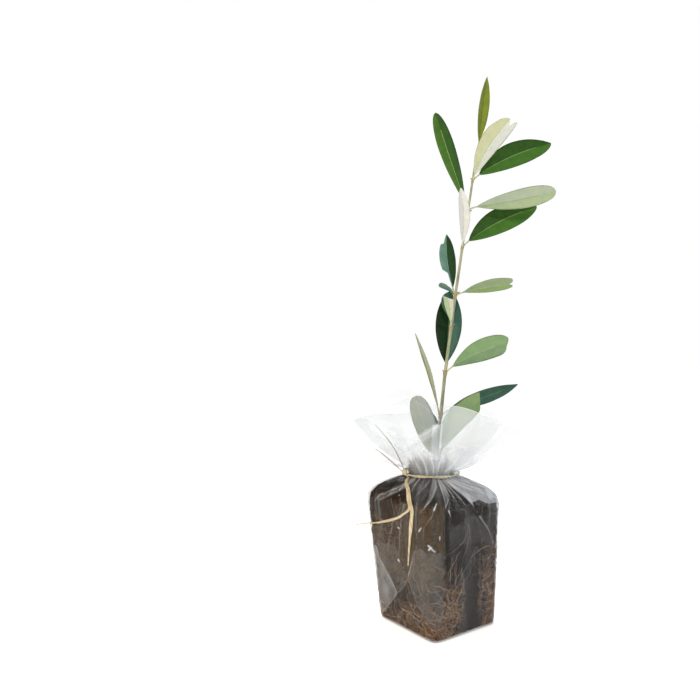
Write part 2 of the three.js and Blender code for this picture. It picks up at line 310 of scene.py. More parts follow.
# Fine gathers that run out of the tie, at uneven angles: 0 between them and 1 on their crests
def gathers(count, seed):
    dice = random.Random(seed)
    spacing = 360 / count
    crests = [(k + dice.uniform(-0.35, 0.35)) * spacing for k in range(count)]
    heights = [dice.uniform(0.35, 1) for _ in range(count)]
    widths = [spacing * dice.uniform(0.45, 0.8) for _ in range(count)]

    def gather(angle):
        nearest = int(angle // spacing)
        best = 0
        for k in range(nearest - 1, nearest + 3):
            away = abs(turnFrom(crests[k % count], angle))
            best = max(best, heights[k % count] * (1 - away / widths[k % count]))
        return best

    return gather


# Root ball: peat crumb and roots
ballForm = {
    "clearance": 0.7,
    "followPleats": 0.85,  # the film lies on the peat, also where it is folded
    "moundHeight": 113,
    "moundRadius": 12,
    "moundEdge": 2.2,  # how much lower the rim of the mound is than its middle
    "columns": 320,
    "rows": 190,
    "capRings": 12,
    "slack": [(88, 10, 0.5), (98, 6, 1.5)],  # where the film leaves the peat, over how many mm and how far
    "crumb": 0.6,  # how far the crumbs stand out
    "heaped": (104, 6, 3),  # from this height, over how many mm and how many times more they do in the mound
    "crumbSizes": [(5, 1), (2.4, 0.7), (1.2, 0.6)],  # in mm, and how strong each is
    "hollows": [(242, 66, 3.2, 24, 5), (253, 81, 9, 4.5, 4)],  # angle, height, half of each size, depth
    "litSide": (102, 239),  # from angle to angle, where the peat is painted lit, facing the warm light
    "litHeights": (34, 88),
    "litTop": (182, 14, 16),  # left of this angle, over how many degrees and how many mm lower the painted lit peat ends
}


def ballPoint(angle, z, out=0.0):
    slack = sum(gap * ramp(z, start, over) for start, over, gap in ballForm["slack"])
    body = min(z, wrapTop)
    radius = wrapHalf(body) * squareness(angle, body) - ballForm["clearance"] - slack
    radius += ballForm["followPleats"] * pleatHeight(body) * pleat(angle)
    for middle, height, halfAngle, halfHeight, depth in ballForm["hollows"]:
        beside = smooth(1 - abs(turnFrom(middle, angle)) / halfAngle)
        radius -= depth * beside * smooth(2 - 2 * abs(z - height) / halfHeight)
    heap = ramp(z, tieHeight, ballForm["moundHeight"] - tieHeight)
    return fromAxis(angle, lerp(radius, ballForm["moundRadius"], heap) + out, z)


def makeRootBall():
    rings = []
    rows, columns, capRings = ballForm["rows"], ballForm["columns"], ballForm["capRings"]
    top, (heapFrom, over, more) = ballForm["moundHeight"], ballForm["heaped"]
    levels = [(1.0, 0.02 + 0.98 * k / capRings) for k in range(capRings)]
    levels += [(lerp(1.0, top - ballForm["moundEdge"], k / rows), 1.0) for k in range(rows + 1)]
    for k in range(capRings - 1, -1, -1):
        share = k / capRings
        levels.append((top - ballForm["moundEdge"] * share**2, 0.02 + 0.96 * share))
    for z, inward in levels:
        ring = []
        middle = fromAxis(0, 0, z)
        for column in range(columns):
            angle = 360 * column / columns
            point = middle + (ballPoint(angle, z) - middle) * inward
            # crumbs stand out sideways, or up on the mound, and the foot stays flat
            outward = direction(angle) if inward == 1.0 else Vector((0, 0, 1 if z > 9 else 0))
            crumbs = 0
            for seed, (size, strong) in enumerate(ballForm["crumbSizes"]):
                crumbs += strong * rough(point, size, seed + 1)
            heaped = 1 + more * ramp(z, heapFrom, over)
            raised = ballForm["crumb"] * heaped * (crumbs - 0.4)
            if z < tieHeight:  # under the film
                raised = min(raised, ballForm["clearance"] - 0.2)
            ring.append(point + outward * raised)
        rings.append(ring)

    # painted light and shade: the side towards the warm light gets the lit peat, with the darker peat at its
    # foot and near its top on the left, and all else, with everything above the top height, the painted
    # shade
    def kindOf(row, column):
        ragged = 4 * rough(rings[row][column], 6, 14)
        (litFrom, litTo), (low, high) = ballForm["litSide"], ballForm["litHeights"]
        lowerFrom, degrees, lower = ballForm["litTop"]
        z, angle = rings[row][column].z + 2 * ragged, 360 * column / columns + ragged
        if z > high or not litFrom < angle < litTo:
            return 1
        return 0 if low < z < high - lower * smooth((lowerFrom - angle) / degrees) else 2

    shape = Shape()
    shape.rings(rings, kindOf)
    shape.piece("rootBall", [litSidePeat, peatInPaintedShade, darkerPeat], ["root_ball"])


rootForm = {
    "pieces": 3,
    "strands": 360,  # in each piece
    "low": 0.84,  # the share of them in clumps low down, where roots turn at the pot's wall
    "clumps": [  # angle and height
        (218, 10), (208, 6), (226, 6), (199, 14), (230, 11), (185, 8), (165, 5), (236, 8), (242, 18),
        (250, 30), (247, 12), (253, 21), (302, 37), (304, 30), (306, 22), (310, 14), (318, 6), (300, 12),
        (306, 46), (314, 26), (330, 14), (345, 22), (352, 10), (8, 8), (20, 20), (34, 12), (48, 26),
        (60, 10), (72, 6), (84, 18), (96, 30), (110, 10), (124, 16), (136, 8),
    ],
    "clumpSpread": (6, 7),  # in degrees round the ball and in mm up it
    "bare": (269, 287, 38),  # from angle to angle and up to which height there are none
    "seed": 7,
    "stride": 1.5,
    "strides": (6, 18),
    "wander": (22, 12),  # how far a strand turns at each stride, low down and elsewhere
    "paleSide": (235, 330),  # from angle to angle, where fewer of them are rusty
    "thickness": (0.09, 0.25),  # radius
    "taper": (1.1, 0.8),  # the share of it at the start, and how much of it is lost on the way
    "sides": 4,
    "neckFibres": 420,
    "neckFoot": (104.5, 112),  # the heights where they start
    "neckStride": 0.9,
    "neckThickness": (0.1, 0.22),
    "neckReach": 16.6,  # how far from the axis the film of the neck lets them go
}


def makeRoots():
    for batch in range(rootForm["pieces"]):
        dice = random.Random(rootForm["seed"] + batch)
        shape = Shape()
        for _ in range(rootForm["strands"]):
            low = dice.random() < rootForm["low"]
            angle, z = dice.uniform(0, 360), 2 + 98 * dice.random()
            if low:
                clump, spread = dice.choice(rootForm["clumps"]), rootForm["clumpSpread"]
                angle, z = dice.gauss(clump[0], spread[0]), max(2, dice.gauss(clump[1], spread[1]))
            heading = dice.uniform(0, 360) if low else dice.gauss(-90, 30)
            wander = rootForm["wander"][0 if low else 1]
            radius = dice.uniform(*rootForm["thickness"]) * (1 if low else 0.7)
            (paleFrom, paleTo), (bareFrom, bareTo, bareTop) = rootForm["paleSide"], rootForm["bare"]
            kind = dice.choice((1, 1, 2) if paleFrom < angle < paleTo else (0, 0, 1, 2))
            path = []
            for _ in range(dice.randint(*rootForm["strides"])):
                if bareFrom < angle < bareTo and z < bareTop:
                    break
                path.append(ballPoint(angle, z, 0.1 + radius + 0.5 * dice.random()))
                heading += dice.gauss(0, wander)
                reach = wrapHalf(min(z, wrapTop)) * squareness(angle, z)
                angle += math.degrees(rootForm["stride"] * cosine(heading) / reach)
                z = min(max(z + rootForm["stride"] * sine(heading), 1.6), 102)
            if len(path) > 3:
                sweep(shape, path, tapering(radius, *rootForm["taper"]), rootForm["sides"], kind)
        for _ in range(rootForm["neckFibres"] // rootForm["pieces"]):
            # fine roots that stand up out of the mound
            angle = dice.uniform(0, 360)
            aim = direction(angle + dice.gauss(0, 60), dice.uniform(25, 85))
            path = [ballPoint(angle, dice.uniform(*rootForm["neckFoot"]), -0.6)]
            for _ in range(dice.randint(5, 9)):
                aim = (aim + Vector([dice.gauss(0, 0.25) for _ in range(3)])).normalized()
                step = path[-1] + aim * rootForm["neckStride"]
                if (step - fromAxis(0, 0, step.z)).length > rootForm["neckReach"]:
                    break
                path.append(step)
            if len(path) > 2:
                radius, kind = dice.uniform(*rootForm["neckThickness"]), dice.choice((0, 0, 1))
                sweep(shape, path, tapering(radius, *rootForm["taper"]), rootForm["sides"], kind)
        shape.piece(f"rootStrands{batch + 1}", [redRoot, tanRoot, paleRoot])


# Film round the ball. It is whitened along its creases, and where a second layer of it lies over the first
filmForm = {
    "columns": 480,
    "rows": 168,
    "footRings": 9,
    "gatherHeight": 1.7,
    "gatherRise": (62, 94),  # the heights where the gathers of the neck start and are full
    "pressed": (99, 5, 0.7),  # from this height, over how many mm and by how much the tie flattens the film
    "billow": 0.8,
    "billowSize": 20,
    "crinkle": 0.2,
    "crinkleSize": 3.5,
    "footHaze": 0.05,
    "hazeLeft": 0.014,
    "hazeRight": 0.016,
    "neckHaze": [(0.28, 84, 20), (0.1, 96, 8)],  # on gathers and all over: whiteness, height, over mm
    "widest": 4.6,  # how far from its line a crease reaches, in mm
    "sharpSide": 0.16,  # the share of its width on its sharp side
    "fading": 0.45,  # the share of its whiteness that a crease loses on its way
    "sampled": 0.8,  # mm from one known place of a crease to the next
    "paintedGlint": (1.35, 2.4, 0.5),  # width, whiteness and height of a painted glint, a white fleck painted as a highlight
    "backCreases": 34,
    "fineCreases": 110,
    "backPaintedGlints": 6,
    "seed": 23,
}
# Creases as places of [angle, height] from the tie outwards, width in mm, whiteness and height in mm. They
# fade out to one side only, on the left of their way where the width is positive, and narrow to a point
creases = [
    ([(188, 103), (180, 99), (160, 92), (144, 84)], 3.0, 0.34, 1.0),
    ([(193, 103), (184, 98), (164, 91), (140, 79)], 3.2, 0.30, 0.8),
    ([(181, 102), (166, 96), (150, 90)], 2.0, 0.22, 0.6),
    ([(242, 103), (240.5, 96), (240.5, 88)], -1.4, 0.55, 0.9),
    ([(238, 103), (229, 96), (220, 89), (214, 83)], -1.8, 0.36, 0.8),
    ([(233, 103), (222, 97), (213, 90)], 1.8, 0.20, 0.6),
    ([(225, 103), (214, 97), (205, 91)], -2.2, 0.18, 0.6),
    ([(246, 103), (248, 96), (246, 88), (244, 80)], -1.6, 0.40, 0.8),
    ([(250, 103), (256, 97), (264, 90), (274, 84)], 1.8, 0.52, 1.0),
    ([(247, 103), (251, 96), (256, 90), (262, 85)], 1.4, 0.46, 0.8),
    ([(256, 103), (266, 98), (282, 92), (300, 84)], 2.0, 0.55, 1.0),
    ([(262, 103), (276, 99), (292, 95), (312, 89)], 2.2, 0.60, 0.8),
    ([(268, 104), (284, 100), (300, 95), (317, 85)], 2.2, 0.50, 1.0),
    ([(280, 104), (296, 100), (310, 95), (320, 86)], 2.4, 0.55, 0.8),
    ([(300, 104), (310, 98), (318, 90), (321, 78)], 2.4, 0.50, 0.8),
    ([(260, 101), (270, 94), (286, 88), (305, 76)], 1.6, 0.50, 0.8),
    ([(266, 99), (280, 86), (302, 65), (316, 47)], 3.4, 0.46, 1.0),
    ([(308, 97), (316, 84), (319, 66)], 2.4, 0.50, 0.8),
    ([(286, 58), (268, 46), (245, 32)], 1.8, 0.24, 0.4),
    ([(289, 55), (292, 28), (293, 2)], 1.2, 0.26, 0.3),
    ([(211, 63), (193, 37), (170, 23), (141, 5)], -1.8, 0.36, 0.5),
    ([(193, 37), (205, 25), (218, 13), (231, 4)], 1.8, 0.26, 0.5),
    ([(200, 96), (190, 80), (182, 62), (178, 46)], 3.0, 0.30, 0.5),
    ([(182, 90), (172, 74), (163, 56), (160, 42)], 3.0, 0.26, 0.4),
    ([(214, 92), (212, 78), (212, 64)], -2.6, 0.22, 0.4),
    ([(232, 84), (230, 72), (224, 60)], 2.0, 0.12, 0.3),
    ([(262, 46), (262, 28), (258, 10)], 1.6, 0.14, 0.3),
    ([(160, 76), (150, 64), (146, 52)], 2.0, 0.16, 0.4),
]
# Painted highlights: small white flecks where the film is folded to a point, painted into its whiteness as
# glints
paintedGlints = [
    [(229, 88), (232, 92.5)],
    [(243.6, 86.4), (246, 82)],
    [(214.5, 73), (217.5, 76.5)],
    [(233, 70.5), (233, 68)],
    [(223, 65.5), (226, 63), (229, 61)],
    [(223.5, 62.5), (226.5, 65)],
    [(182, 70.5), (184.5, 70.5)],
    [(177, 48), (180, 47)],
]
# Doubled film: corners of [angle, height] and how white it is there. Under 0, it lies close and is clear
veils = [
    ([(193, 37), (211, 61), (234, 60), (236, 40), (233, 5), (218, 13)], 0.11),
    ([(134, 54), (142, 52), (145, 44), (160, 34), (170, 24), (142, 5), (134, 5)], 0.34),
    ([(136, 62), (150, 54), (170, 58), (193, 37), (170, 24), (145, 44)], 0.08),
    ([(139, 78), (144, 86), (164, 94), (186, 103), (196, 103), (190, 97), (166, 90)], 0.08),
    ([(230, 104), (226, 98), (220, 89), (229, 95), (238, 104)], 0.24),
    ([(240, 104), (240, 96), (240.5, 88), (247, 95), (247, 104)], 0.3),
    ([(198, 97), (224, 103), (220, 92), (208, 80)], 0.03),
    ([(250, 104), (308, 104), (322, 94), (322, 82), (312, 86), (300, 86), (290, 90), (278, 88),
      (264, 96)], 0.66),
    ([(290, 98), (322, 92), (322, 68), (312, 84)], 0.3),
    ([(243, 79), (284, 80), (308, 57), (290, 62), (242, 63)], 0.05),
    ([(300, 103), (320, 98), (322, 66), (313, 62)], 0.12),
    ([(258, 44), (272, 40), (270, 2), (256, 2)], 0.04),
    ([(139, 72), (139, 84), (160, 87), (182, 92), (190, 88), (172, 74)], -0.25),
    ([(140, 84), (139, 95), (145, 103), (176, 104), (182, 102), (164, 95)], -0.5),
    ([(160, 87.5), (166, 90), (191, 98), (204, 97), (206, 91), (171, 85)], -0.5),
    ([(243, 87), (254, 85), (265, 79), (256, 75), (246, 76)], -0.4),
    ([(264, 88), (290, 86), (312, 79), (284, 79)], -0.3),
    ([(240, 87), (245, 86), (243, 40), (237, 36)], -0.06),
]


def hiddenMarks():
    # the sides away from the front have marks of the same kinds, with the same sizes
    dice = random.Random(filmForm["seed"])
    lines, paintedGlintMarks, areas = [], [], []
    for _ in range(filmForm["backCreases"]):
        angle, z = dice.uniform(322, 490), dice.uniform(98, 103)
        places = [(angle, z)]
        drift = dice.gauss(0, 9)
        for _ in range(dice.randint(2, 4)):
            angle, z = angle + drift + dice.gauss(0, 3), z - dice.uniform(6, 16)
            places.append((angle, z))
        width = dice.uniform(1.4, 3.6) * dice.choice((-1, 1))
        lines.append((places, width, dice.uniform(0.12, 0.4), dice.uniform(0.4, 1.0)))
    # painted highlights: white flecks as glints on the hidden sides
    for _ in range(filmForm["backPaintedGlints"]):
        angle, z = dice.uniform(325, 485), dice.uniform(58, 94)
        paintedGlintMarks.append([(angle, z), (angle + dice.uniform(1, 4), z + dice.uniform(-4, 4))])
    for start in range(330, 480, 38):
        upper = [(start, 98), (start + 26, 102), (start + 30, 86), (start + 8, 78)]
        areas.append((upper, dice.uniform(0.08, 0.2)))
        middle = start + dice.uniform(8, 16)
        lower = [(middle - 14, 58), (middle + 6, 64), (middle + 20, 20), (middle - 8, 5)]
        areas.append((lower, dice.uniform(0.05, 0.14)))
    return lines, paintedGlintMarks, areas


def fineCreases():
    # short faint creases all over, most of them running down and out from the tie
    dice = random.Random(filmForm["seed"] + 1)
    lines = []
    for _ in range(filmForm["fineCreases"]):
        angle, z = dice.uniform(0, 360), 8 + 90 * dice.random() ** 0.7
        slope = math.radians(dice.gauss(-90, 26))
        length = dice.uniform(6, 22)
        bend = dice.gauss(0, 2)
        half = (angle + 0.8 * length * math.cos(slope) + bend, z + 0.5 * length * math.sin(slope))
        end = (angle + 1.6 * length * math.cos(slope), max(3, z + length * math.sin(slope)))
        width = dice.uniform(0.6, 2.0) * dice.choice((-1, 1))
        lines.append(([(angle, z), half, end], width, dice.uniform(0.05, 0.18), dice.uniform(0.1, 0.35)))
    return lines


def lineField(lines):
    # for a point of the film, how white and how high the creases, the veils' edges and the painted glints
    # make it
    samples = []
    for places, width, white, height in lines:
        smoothed = curveThrough([Vector((angle, z, 0)) for angle, z in places], 8)
        for k, (start, end) in enumerate(zip(smoothed, smoothed[1:])):
            a, b = onWrap(start.x, start.y, 0), onWrap(end.x, end.y, 0)
            leftward = direction(start.x).cross(b - a).normalized() * (1 if width > 0 else -1)
            share = (k + 0.5) / len(smoothed)
            swell = min(1, 0.35 + 3 * share) * (1 - share) ** 0.7
            bright = white * (1 - filmForm["fading"] * share)
            count = max(1, round((b - a).length / filmForm["sampled"]))
            for step in range(count):
                samples.append((a.lerp(b, step / count), leftward, abs(width) * swell, bright, height))
    tree = treeOf([sample[0] for sample in samples])

    def field(point):
        white = height = 0.0
        for found, index, away in tree.find_range(point, filmForm["widest"]):
            _, leftward, width, brightest, highest = samples[index]
            soft = (point - found).dot(leftward) > 0
            near = 1 - away / (width if soft else max(filmForm["sharpSide"] * width, 0.5))
            if near > 0:
                white = max(white, brightest * near)
                height = max(height, highest * near)
        return white, height

    return field


def inside(corners, angle, z):
    angle = corners[0][0] + turnFrom(corners[0][0], angle)
    within = False
    for (a, low), (b, high) in zip(corners, corners[1:] + corners[:1]):
        if (low > z) != (high > z) and angle < a + (b - a) * (z - low) / (high - low):
            within = not within
    return within


hiddenLines, hiddenPaintedGlints, hiddenVeils = hiddenMarks()
allVeils = veils + hiddenVeils
veilEdges = [
    ([start, end], 1.2, min(1.6 * white, 0.25), 0.15)
    for corners, white in allVeils
    for start, end in zip(corners, corners[1:] + corners[:1])
    if white > 0 and max(start[1], end[1]) < 96
]
paintedGlintMarks = [(line, *filmForm["paintedGlint"]) for line in paintedGlints + hiddenPaintedGlints]
creaseAndGlintField = lineField(creases + hiddenLines + fineCreases() + veilEdges + paintedGlintMarks)
neckGather = gathers(34, 3)


def filmOut(angle, z):
    # how far the film stands off its plain form, and how white it is
    point = onWrap(angle, min(z, wrapTop), 0)
    white, height = creaseAndGlintField(point)
    riseFrom, riseTo = filmForm["gatherRise"]
    pressedFrom, over, loss = filmForm["pressed"]
    pressed = 1 - loss * ramp(z, pressedFrom, over)
    gather = neckGather(angle % 360)
    spread = gather * filmForm["gatherHeight"] * ramp(z, riseFrom, riseTo - riseFrom) * pressed
    soft = 0.5 + 0.5 * rough(point, filmForm["billowSize"], 4)
    billow = filmForm["billow"] * soft * smooth(z / 14) * pressed
    crinkle = filmForm["crinkle"] * rough(point, filmForm["crinkleSize"], 5)
    out = max(0, spread + height * pressed * smooth(z / 6) + billow + crinkle - 0.8)
    layer = sum(veil for corners, veil in allVeils if inside(corners, angle, z))
    cloudy = layer * (0.8 + 0.5 * rough(point, 7, 6))
    onGathers, allOver = [whiter * ramp(z, *rise) for whiter, *rise in filmForm["neckHaze"]]
    frost = onGathers * gather**2 + allOver
    # the film's plain whiteness is painted a little higher on the side away from the warm light, as a grey
    # veil over that shaded side
    cool = smooth((sine(angle - 190) + 0.35) / 0.5)  # the side away from the warm light
    base = lerp(filmForm["hazeLeft"], filmForm["hazeRight"], cool)
    return out, clamp01(base + cloudy + white + frost)


def makeFilmWrap():
    shape = Shape()
    rings = []
    haze = []
    rows, columns, footRings = filmForm["rows"], filmForm["columns"], filmForm["footRings"]
    angles = [360 * k / columns for k in range(columns)]
    for row in range(footRings):
        share = (row + 0.1) / footRings
        rings.append([fromAxis(angle, wrapHalf(0) * squareness(angle, 0) * share, 0.05) for angle in angles])
        haze += [filmForm["footHaze"]] * columns
    for row in range(rows + 1):
        z = lerp(0.05, tieHeight, row / rows)
        ring = []
        for angle in angles:
            out, white = filmOut(angle, z)
            point = onWrap(angle, min(z, wrapTop), out * smooth((z + 2) / 8))
            point.z = z
            ring.append(point)
            haze.append(white)
        rings.append(ring)
    shape.rings(rings, haze=haze, caps=(True, False))
    shape.piece("filmWrap", [film], ["film_wrap"])


# Film collar above the tie. Where its rim points, how long the film is there and how steeply it stands
collarRim = [  # heading, length and rise
    (24, 56, 60), (76, 51, 46), (124, 62, 24), (158, 56, 52),
    (194, 61, 77), (244, 50, 74), (294, 56, 36), (338, 50, 50),
]
collarForm = {
    "spread": 0.3,
    "strides": 8,
    "rows": 64,
    "columns": 480,
    "gatherHeight": 2.0,
    "fan": (0.3, 0.12, 0.5),  # gathers: height at the tie, shares of the way where higher and gone
    "tucked": 1.2,  # how far inside its plain form it starts
    "crinkle": 0.35,
    "crinkleSizes": (6, 19),
    "footHaze": 0.2,
    "hazes": [(0.04, 0.2, 0.3), (0.2, 0.35, 0.05)],  # from and over a share of the way, to a whiteness
    "whiterSide": (275, 0.45),
    "crestHaze": 0.16,
    "rimHaze": (0.985, 0.015, 0.25),
    "widestFold": 3.0,
    "layers": [  # name, seed, number of gathers, how far inside, shorter and steeper, replaced nodes
        ("filmCollar", 31, 30, 0.0, 1.0, 0.0, ["film_collar"]),
        ("filmCollarInner", 47, 22, 1.6, 0.86, 0.2, []),
    ],
}
collarWaves = [(5, 2.4, 34), (9, 1.2, 115)]  # count, height and turn
# Folds of the collar as places of [angle, share of the way to the rim], half width in mm and whiteness
collarFolds = [
    ([(182, 0.33), (202, 0.41), (222, 0.57), (234, 0.71)], 2.6, 0.55),
    ([(174, 0.24), (190, 0.26), (214, 0.30), (238, 0.28)], 0.8, 0.30),
    ([(250, 0.20), (262, 0.42), (276, 0.60)], 1.6, 0.25),
    ([(282, 0.10), (283, 0.38), (290, 0.62)], 1.2, 0.20),
    ([(20, 0.20), (34, 0.46), (40, 0.7)], 2.0, 0.25),
    ([(70, 0.16), (92, 0.44), (100, 0.66)], 1.8, 0.25),
    ([(330, 0.20), (340, 0.40), (356, 0.66)], 1.6, 0.20),
    ([(128, 0.30), (146, 0.48), (150, 0.72)], 1.6, 0.20),
    ([(205, 0.01), (198, 0.12), (186, 0.24)], 1.0, 0.30),
    ([(219, 0.01), (216, 0.12), (206, 0.26)], 1.1, 0.40),
    ([(232, 0.01), (232, 0.12), (228, 0.24)], 0.9, 0.45),
    ([(242, 0.01), (243, 0.14), (248, 0.28)], 1.3, 0.55),
    ([(258, 0.01), (262, 0.12), (268, 0.28)], 1.0, 0.40),
    ([(270, 0.01), (276, 0.12), (286, 0.26)], 1.3, 0.50),
    ([(284, 0.01), (292, 0.12), (304, 0.24)], 1.2, 0.50),
    ([(298, 0.01), (308, 0.12), (320, 0.22)], 1.2, 0.45),
]
# Doubled parts of the collar: corners of [angle, share of the way to the rim] and whiteness
collarVeils = [
    ([(240, 0.40), (240, 0.84), (244, 1.1), (285, 1.1), (284, 0.5), (262, 0.42)], 0.42),
    ([(228, 0.22), (244, 0.22), (242, 0.76), (229, 0.72)], 0.30),
    ([(250, 0.30), (269, 0.49), (322, 0.20), (269, 0.15)], 0.16),
]


def rimAt(angle):
    angle %= 360
    after = next((k for k, rim in enumerate(collarRim) if rim[0] > angle), 0)
    (start, length, rise), (end, nextLength, nextRise) = collarRim[after - 1], collarRim[after]
    share = smooth((angle - start) % 360 / ((end - start) % 360))
    return lerp(length, nextLength, share), lerp(rise, nextRise, share)


def onCollar(angle, share, out, shorter=1.0, steeper=0.0):
    length, rise = rimAt(angle)
    length *= shorter
    rise = lerp(rise, 90, steeper)
    spread = collarForm["spread"] * (90 - rise)
    waves = sum(height * sine(count * angle + turn) for count, height, turn in collarWaves)
    lift = out + share * waves
    strides = collarForm["strides"]
    radius = wrapForm["neckRadius"] + pleatHeight(tieHeight) * pleat(angle)
    z = tieHeight + wrapForm["neckLength"]
    for k in range(strides):
        midway = lerp(rise - spread, rise + spread, share * (k + 0.5) / strides)
        radius += length * share / strides * cosine(midway)
        z += length * share / strides * sine(midway)
    end = lerp(rise - spread, rise + spread, share)
    return fromAxis(angle, radius + lift * sine(end), z - lift * cosine(end))


def makeCollar(name, seed, gatherCount, inset, shorter, steeper, replaces):
    shape = Shape()
    gather = gathers(gatherCount, seed)
    rings = []
    haze = []
    rows, columns = collarForm["rows"], collarForm["columns"]
    folds = []
    for places, halfWidth, white in collarFolds:
        path = curveThrough([onCollar(*place, 0, shorter, steeper) for place in places], 24)
        folds += [(point, halfWidth, white) for point in path]
    tree = treeOf([fold[0] for fold in folds])
    (low, full, gone), (fine, coarse) = collarForm["fan"], collarForm["crinkleSizes"]
    (whiterAt, whiter), (rimFrom, rimWidth, rimWhite) = collarForm["whiterSide"], collarForm["rimHaze"]
    for row in range(rows + 1):
        share = row / rows
        ring = []
        for column in range(columns):
            angle = 360 * column / columns
            plain = onCollar(angle, share, 0, shorter, steeper)
            crest = gather(angle)
            fan = collarForm["gatherHeight"] * crest * (low + smooth(share / full))
            fan *= 1 - smooth(share / gone)
            creased = rough(plain, fine, seed) + 3 * rough(plain, coarse, seed + 1)
            out = fan - collarForm["tucked"] * (1 - share) + collarForm["crinkle"] * share * creased - inset
            ring.append(onCollar(angle, share, out, shorter, steeper))
            frost = collarForm["footHaze"]
            for start, over, white in collarForm["hazes"]:
                frost = lerp(frost, white, ramp(share, start, over))
            frost *= 1 + whiter * cosine(angle - whiterAt) + 0.4 * rough(plain, 8, seed + 2)
            if not inset:  # the outer layer
                frost += sum(veil for corners, veil in collarVeils if inside(corners, angle, share))
            fold = 0.0
            for _, index, away in tree.find_range(plain, collarForm["widestFold"]):
                _, halfWidth, white = folds[index]
                fold = max(fold, white * (1 - away / halfWidth))
            rim = rimWhite * ramp(share, rimFrom, rimWidth)
            haze.append(clamp01(frost + collarForm["crestHaze"] * crest**3 * (1 - share) ** 2 + fold + rim))
        rings.append(ring)
    rings.insert(0, [Vector((point.x, point.y, tieHeight)) for point in rings[0]])
    shape.rings(rings, haze=haze[:columns] + haze, caps=(False, False))
    shape.piece(name, [collarFilm], replaces)


# Stem
stemForm = {
    "footRadius": 2.3,
    "radius": 1.45,
    "tipRadius": 0.75,
    "tipHeight": 336,
    "sideways": 29,  # how far the tip leans
    "heading": -36,
    "bend": 1.25,
    "kink": 0.5,
    "kinks": 9,
    "flareHeight": 7,
    "sides": 28,
    "rows": 520,
    "nodeSwelling": 0.4,
    "barkInside": 0.9,  # the bark's relief stands on a stem this much thinner than the plain one
    "furrows": (7, 18, 0.06),  # number round the stem, length of their bends and depth
    "warts": (1.4, 0.10),  # size and height
    "lumps": (5, 0.10),
    "budTaper": (1, 0.75, 1.6),
    "nodeHalf": 1.7,  # half the length of a node's darker bark
}
stemFoot = ballForm["moundHeight"] + 0.3
# Stubs of shed leaves and resting buds: height, heading, rise, length and radius
buds = [
    (289.5, -40, 20, 2.6, 0.75),
    (231.5, -50, 25, 2.6, 0.8),
    (209, -30, 30, 2.0, 0.7),
    (176, 150, 40, 1.8, 0.6),
    (265, 60, 35, 1.8, 0.6),
    (312, 140, 45, 1.8, 0.5),
    (146, 100, 40, 1.8, 0.7),
]


def alongStem(z):
    return clamp01((z - stemFoot) / (stemForm["tipHeight"] - stemFoot))


def stemPoint(z):
    share = alongStem(z)
    kink = stemForm["kink"] * math.sin(share * stemForm["kinks"] * math.pi)
    lean = direction(stemForm["heading"]) * stemForm["sideways"] * share ** stemForm["bend"]
    return lean + direction(stemForm["heading"] + 90) * kink + Vector((0, 0, z))


def stemRadius(z):
    wider = stemForm["footRadius"] - stemForm["radius"]
    flare = wider * (1 - ramp(z, stemFoot, stemForm["flareHeight"]))
    return lerp(stemForm["radius"], stemForm["tipRadius"], alongStem(z)) + flare


